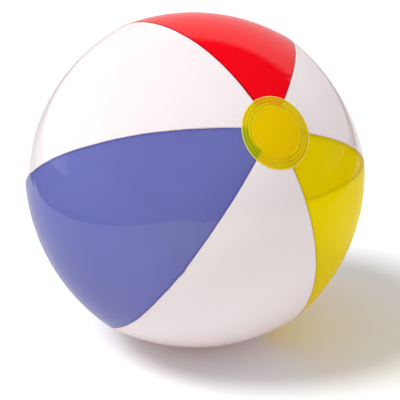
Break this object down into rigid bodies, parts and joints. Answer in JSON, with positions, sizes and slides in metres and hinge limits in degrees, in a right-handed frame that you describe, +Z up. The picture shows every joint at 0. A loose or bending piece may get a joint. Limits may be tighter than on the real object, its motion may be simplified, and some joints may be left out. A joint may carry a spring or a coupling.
{
  "type": "inflatable beach ball",
  "caption": "Inflated vinyl ball of coloured and white panels with transparent end caps and a push-in air valve.",
  "frame": {"origin": "centre of the flat on which the ball rests, on the floor and straight below the ball's centre", "axes": "+Z up from the floor, +Y along the valve and out of the ball"},
  "size_m": [0.3246, 0.326, 0.3232],
  "materials": {
    "vinyl_blue": "glossy translucent blue vinyl sheet, 0.35 mm",
    "vinyl_red": "glossy translucent red vinyl sheet, 0.35 mm",
    "vinyl_yellow": "glossy translucent yellow vinyl sheet, 0.35 mm",
    "vinyl_white": "glossy translucent white vinyl sheet, 0.35 mm",
    "cap_vinyl": "glossy transparent yellow vinyl disc with raised weld rings",
    "valve_vinyl": "soft clear-white moulded vinyl, semi-gloss"
  },
  "bodies": {
    "ball": {"panel_blue": "vinyl_blue", "panel_white_low": "vinyl_white", "panel_yellow": "vinyl_yellow", "panel_white_valve": "vinyl_white", "panel_red": "vinyl_red", "panel_white_high": "vinyl_white", "end_cap_front": "cap_vinyl", "end_cap_rear": "cap_vinyl", "valve_flange": "valve_vinyl", "valve_boot": "valve_vinyl"},
    "stem": {"valve_stem": "valve_vinyl"},
    "plug": {"valve_plug": "valve_vinyl"},
    "flap": {"check_flap": "valve_vinyl"}
  },
  "joints": [
    {"name": "stem_slide", "type": "slide", "parent": "ball", "child": "stem", "axis": [0, 1, 0], "range_m": [0, 0.013], "deforming": ["valve_boot"]},
    {"name": "plug_hinge", "type": "hinge", "parent": "stem", "child": "plug", "pos_m": [0, 0.16294, 0.15195], "axis": [-1, 0, 0], "range_deg": [0, 150]},
    {"name": "flap_hinge", "type": "hinge", "parent": "stem", "child": "flap", "pos_m": [0, 0.14664, 0.16515], "axis": [-1, 0, 0], "range_deg": [0, 60], "stiffness_Nm_per_rad": 0.00002}
  ]
}
